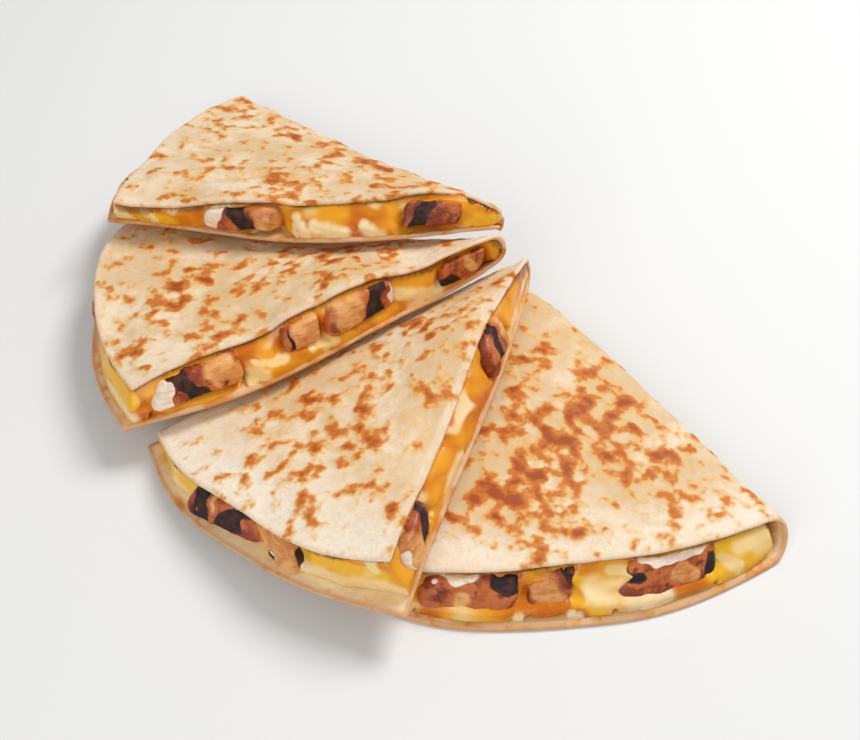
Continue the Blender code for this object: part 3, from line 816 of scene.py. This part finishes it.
def makeCheese(name, material, tree):
    filling = fillingOf(name)
    paths = {1: [], -1: []}
    for side, first, last, low, high, hump, width, kind in cheeseLook["strands"][name]:
        path = strandPoints(filling, name, side, first, last, low, high, hump)
        if len(path) > 2:
            paths[kind].append((path, width / 1000))
    shape = cadShape("cheese_" + name)
    for number in piecesIn(name):
        shape.from_mesh(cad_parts["chicken_" + number].data)
    bmesh.ops.remove_doubles(shape, verts=shape.verts, dist=1e-5)
    shape.normal_update()
    for vertex in shape.verts:
        vertex.co += vertex.normal * cheeseLook["swell"]
    piece = pieceFrom("melted_" + name, shape)
    even = piece.modifiers.new("even", "REMESH")
    even.mode = "VOXEL"
    even.voxel_size = cheeseLook["voxel"]
    soft = piece.modifiers.new("soft", "SMOOTH")
    soft.factor, soft.iterations = 0.5, 6
    bake(piece)
    points = pointsOf(piece.data)
    store(piece.data, "cream", nearness(points, paths[1]))
    store(piece.data, "yellow", nearness(points, paths[-1]))
    points, under = settle(name, points, normalsOf(piece.data))
    for number in piecesIn(name):
        bareChunk(points, number)
    setPoints(piece.data, points)
    # under: how close the sheet above is, which the paint turns into painted shade with some browning
    store(piece.data, "under", under)
    shapeWith(piece, tree, material)
    tuckIn(name, piece.data)
    piece.data.shade_smooth()
    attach(piece, "root")
    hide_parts("cheese_" + name)


melted = finish("melted cheese", paintCheese, {
    "Subsurface Weight": 0.12, "Subsurface Radius": (0.003, 0.0018, 0.0006), "Subsurface Scale": 1.0,
    "Coat Weight": 0.15, "Coat Roughness": 0.12, "Specular IOR Level": 0.3})
cheeseTree = shaper("cheese relief", cheeseLook["relief"], reliefOfCheese)
for wedge in fan["wedges"]:
    makeCheese(wedge, melted, cheeseTree)
    print("cheese", wedge)


def paintChicken(graph):
    place = graph.place()
    char, white, golden = graph.attribute("char"), graph.attribute("white"), graph.attribute("golden")
    rough = graph.noise(place, 320.0, 4.0, 0.65)
    patch = graph.noise(place, 130.0, 3.0, 0.6, 0.4)
    fibre = graph.noise(graph.vector("MULTIPLY", place, (1.0, 1.0, 3.5)), 330.0, 3.0, 0.6)
    ragged = (patch - 0.5) * 1.3 + (rough - 0.5) * 1.1
    deeper = (patch + (rough - 0.5) * 0.4).rise(0.40, 0.60)
    seared = graph.mix(deeper, linear(196, 104, 46), linear(140, 52, 16))
    seared = graph.mix(rough.rise(0.54, 0.68) * 0.8, seared, linear(88, 28, 8))
    tan = graph.mix((patch * 0.6 + fibre * 0.4).rise(0.38, 0.62), linear(232, 176, 108), linear(204, 124, 58))
    seared = graph.mix((golden + ragged * 0.8).rise(0.15, 0.95), seared, tan)
    meat = graph.mix(fibre.rise(0.35, 0.75), linear(246, 230, 210), linear(226, 194, 164))
    body = graph.mix((white + ragged * 0.3).rise(0.42, 0.62), seared, meat)
    marked = char + ragged
    colour = graph.mix(marked.rise(0.22, 0.55), body, linear(96, 36, 16))
    soot = graph.mix(rough.rise(0.42, 0.66), linear(26, 11, 10), linear(78, 36, 26))
    colour = graph.mix(marked.rise(0.46, 0.80), colour, soot)
    bump = graph.add("ShaderNodeBump", {}, {"Height": rough + fibre, "Strength": 0.45, "Distance": 0.0006})
    roughness, coat = 0.34 + rough * 0.3 + char * 0.2, 0.15 - char * 0.12
    return {"Base Color": colour, "Roughness": roughness, "Coat Weight": coat, "Normal": bump}


def reliefOfChicken(graph, geometry, sizes):
    place, char, white = graph.place(), graph.attribute("char"), graph.attribute("white")
    lumps = graph.noise(place, 120.0, 2.0, 0.5) - 0.5
    fibre = graph.noise(graph.vector("MULTIPLY", place, (1.0, 1.0, 3.0)), 420.0, 2.0, 0.6) - 0.5
    lift = lumps * sizes["Lump Height"] + fibre * sizes["Fibre Height"] - char * sizes["Mark Depth"]
    away = graph.stretch(graph.add("GeometryNodeInputNormal"), lift - white * 0.0001)
    return graph.add("GeometryNodeSetPosition", {}, {"Geometry": geometry, "Offset": away})


def patchesOn(along, up, patches):
    # 1 inside any of the patches of a piece's side, 0 well outside them all
    share = np.zeros(len(along))
    for x, y, turn, width, length in patches:
        cos, sin = math.cos(math.radians(turn)), math.sin(math.radians(turn))
        across, down = (along - x) * cos + (up - y) * sin, (up - y) * cos - (along - x) * sin
        share = np.maximum(share, 1 - smoothStep(np.hypot(across / width, down / length), 0.65, 1.35))
    return share


def makeChicken(number, side, charred, white, golden, material, tree):
    piece = pieceFrom("meat_" + number, cadShape("chicken_" + number))
    finer = piece.modifiers.new("finer", "SUBSURF")
    finer.levels = finer.render_levels = chickenLook["fineness"]
    bake(piece)
    middle, axes, half = chunkFrame(number)
    own = (pointsOf(piece.data) - middle) @ axes.T
    own *= half / np.abs(own).max(0)
    spots, elsewhere = [Vector(point) / chickenLook["warpSize"] for point in own], Vector((9, 5, 2))
    warpAlong, warpUp = chickenLook["warp"]
    along = own[:, 0] / half[0] + warpAlong * np.array([noise.noise(spot) for spot in spots])
    up = own[:, 2] / half[2] + warpUp * np.array([noise.noise(spot + elsewhere) for spot in spots])
    setPoints(piece.data, middle + (own * chickenLook["stretch"] + (0, chickenLook["proud"], 0)) @ axes)
    for name, patches in (("char", charred), ("white", white), ("golden", golden)):
        store(piece.data, name, patchesOn(along, up, patches))
    shapeWith(piece, tree, material)
    tuckIn(number[0], piece.data)
    piece.data.shade_smooth()
    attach(piece, "root")
    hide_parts("chicken_" + number)


grilled = finish("grilled chicken", paintChicken, {
    "Subsurface Weight": 0.08, "Subsurface Radius": (0.003, 0.0012, 0.0006), "Subsurface Scale": 1.0,
    "Coat Roughness": 0.2, "Specular IOR Level": 0.4})
chickenTree = shaper("chicken relief", chickenLook["relief"], reliefOfChicken)
for number, facts in chickenLook["pieces"].items():
    makeChicken(number, *facts, grilled, chickenTree)
print("chicken")


studio = {
    "floorSize": 6.0,
    # the camera: what it looks at, from how many degrees up and how far away, and its lens in mm
    "target": (0.0030, -0.0133, 0.0),
    "elevation": 49.75,
    "distance": 0.4264,
    "lens": 59.81,
    # lights: place, size, watts
    "lights": {
        "key": ((0.40, 0.30, 0.75), 0.40, 6.0),
        "fill": ((-0.35, -0.75, 0.60), 0.8, 4.0),
    },
    "sky": 0.38,
}


def makeStudio():
    half = studio["floorSize"] / 2
    mesh = bpy.data.meshes.new("floor")
    corners = [(-half, -half, 0), (half, -half, 0), (half, half, 0), (-half, half, 0)]
    mesh.from_pydata(corners, [], [(0, 1, 2, 3)])
    floor = newPiece("floor", mesh)
    pale = finish("pale floor", lambda graph: {}, {"Base Color": linear(226, 226, 225), "Roughness": 0.7})
    mesh.materials.append(pale)
    for name, (place, size, watts) in studio["lights"].items():
        lamp = bpy.data.lights.new(name, "AREA")
        lamp.shape, lamp.size, lamp.energy = "DISK", size, watts
        light = bpy.data.objects.new(name, lamp)
        light.location = place
        light.rotation_euler = (-Vector(place)).to_track_quat("-Z", "Y").to_euler()
        scene.collection.objects.link(light)
    world = bpy.data.worlds.new("studio")
    world.use_nodes = True
    world.node_tree.nodes["Background"].inputs["Color"].default_value = (1, 1, 1, 1)
    world.node_tree.nodes["Background"].inputs["Strength"].default_value = studio["sky"]
    scene.world = world
    lens = bpy.data.cameras.new("camera")
    lens.lens, lens.sensor_width = studio["lens"], 36.0
    camera = bpy.data.objects.new("camera", lens)
    tilt = math.radians(studio["elevation"])
    back = Vector((0.0, -math.cos(tilt), math.sin(tilt)))
    camera.location = Vector(studio["target"]) + back * studio["distance"]
    camera.rotation_euler = (-back).to_track_quat("-Z", "Y").to_euler()
    scene.collection.objects.link(camera)
    scene.camera = camera


makeStudio()
print("studio")
